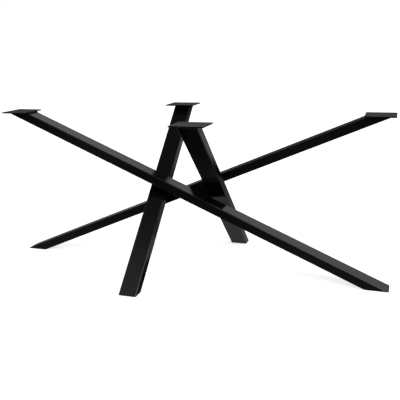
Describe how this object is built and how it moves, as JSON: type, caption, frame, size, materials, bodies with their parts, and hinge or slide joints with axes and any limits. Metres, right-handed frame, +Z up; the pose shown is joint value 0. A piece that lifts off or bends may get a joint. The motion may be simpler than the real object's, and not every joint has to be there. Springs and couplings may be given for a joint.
{
  "type": "table leg",
  "caption": "Crossed table base of flat rectangular steel tubes that lean through each other at the middle, with screw plates on top, in satin black.",
  "frame": {"origin": "on the floor, under the middle of the base where the legs cross", "axes": "+Z up; X along the table, in the plane of the two long legs; Y across the table, with the front leg's top plate at -Y"},
  "size_m": [1.7936, 0.8198, 0.72],
  "materials": {
    "powder_coat": "satin black powder coat on welded steel",
    "felt": "pressed dark grey felt"
  },
  "bodies": {
    "root": {"left_leg_tube": "powder_coat", "left_top_plate": "powder_coat", "left_plate_weld": "powder_coat", "left_foot_cap": "powder_coat", "left_foot_pad": "felt", "right_leg_tube": "powder_coat", "right_top_plate": "powder_coat", "right_plate_weld": "powder_coat", "right_foot_cap": "powder_coat", "right_foot_pad": "felt", "back_leg_tube": "powder_coat", "back_top_plate": "powder_coat", "back_plate_weld": "powder_coat", "back_foot_cap": "powder_coat", "back_foot_pad": "felt", "front_leg_tube": "powder_coat", "front_top_plate": "powder_coat", "front_plate_weld": "powder_coat", "front_foot_cap": "powder_coat", "front_foot_pad": "felt", "centre_bar": "powder_coat", "left_back_weld": "powder_coat", "right_back_weld": "powder_coat", "left_front_weld": "powder_coat", "right_front_weld": "powder_coat"}
  },
  "joints": []
}
